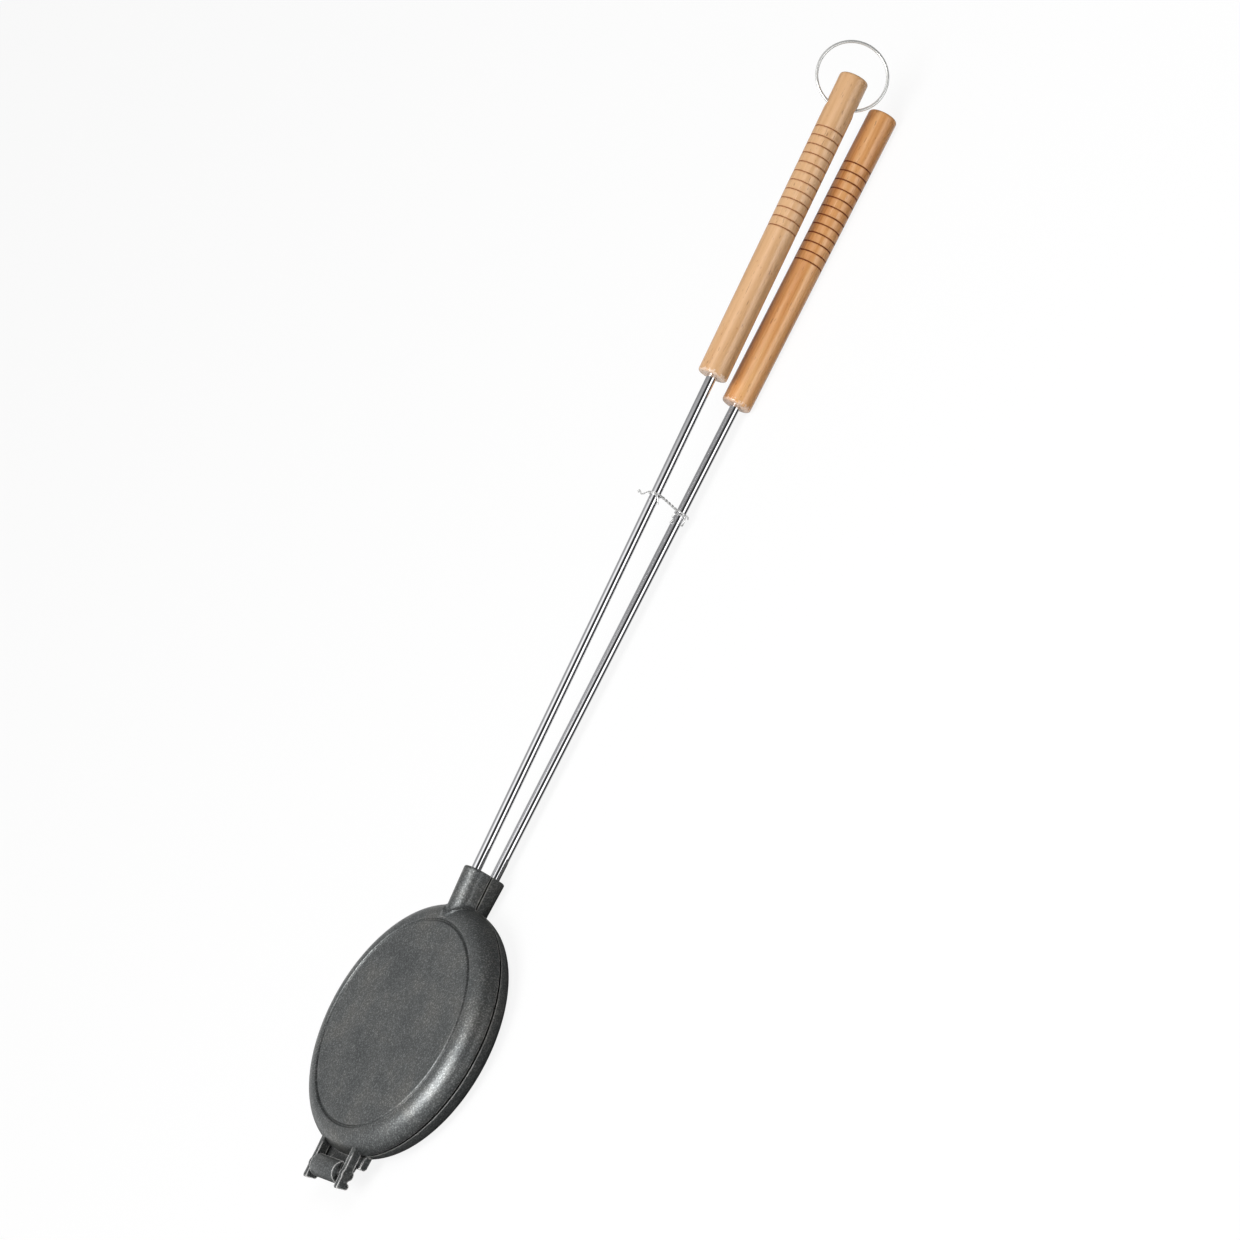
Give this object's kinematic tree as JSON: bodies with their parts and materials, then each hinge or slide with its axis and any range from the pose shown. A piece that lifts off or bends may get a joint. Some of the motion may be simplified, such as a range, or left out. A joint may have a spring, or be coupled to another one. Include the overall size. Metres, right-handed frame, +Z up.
{
  "type": "campfire waffle iron",
  "caption": "Round cast-iron waffle iron for the campfire: two hinged halves with studded cavities, long steel rods, turned wooden grips and a hanging ring.",
  "frame": {"origin": "centre of the lower half's flat outer panel, the face that lies on the coals or the stove", "axes": "+X along the rods towards the grips, +Y along the hinge bar, +Z up, square to the parting face"},
  "size_m": [0.7801, 0.1648, 0.0614],
  "materials": {
    "cast_iron_lower": "seasoned sand casting, satin",
    "cast_iron_upper": "seasoned sand casting, satin",
    "rod_steel": "bright plated rod",
    "dark_wood": "turned hardwood, satin lacquer",
    "pale_wood": "turned hardwood, satin lacquer",
    "ring_steel": "bright plated wire",
    "tie_wire": "soft bright wire"
  },
  "bodies": {
    "lower_half": {"lower_plate": "cast_iron_lower", "lower_rod": "rod_steel", "lower_grip": "dark_wood"},
    "upper_half": {"upper_plate": "cast_iron_upper", "upper_rod": "rod_steel", "upper_grip": "pale_wood", "wire_tie": "tie_wire"},
    "ring": {"hang_ring": "ring_steel"}
  },
  "joints": [
    {"name": "plate_hinge", "type": "hinge", "parent": "lower_half", "child": "upper_half", "pos_m": [-0.0943, 0, 0.01875], "axis": [0, -1, 0], "range_deg": [0, 100]},
    {"name": "ring_swing", "type": "hinge", "parent": "upper_half", "child": "ring", "pos_m": [0.63158, 0, 0.02865], "axis": [-0.0129, 0.515, 0.8571], "range_deg": [-155, 30]}
  ]
}
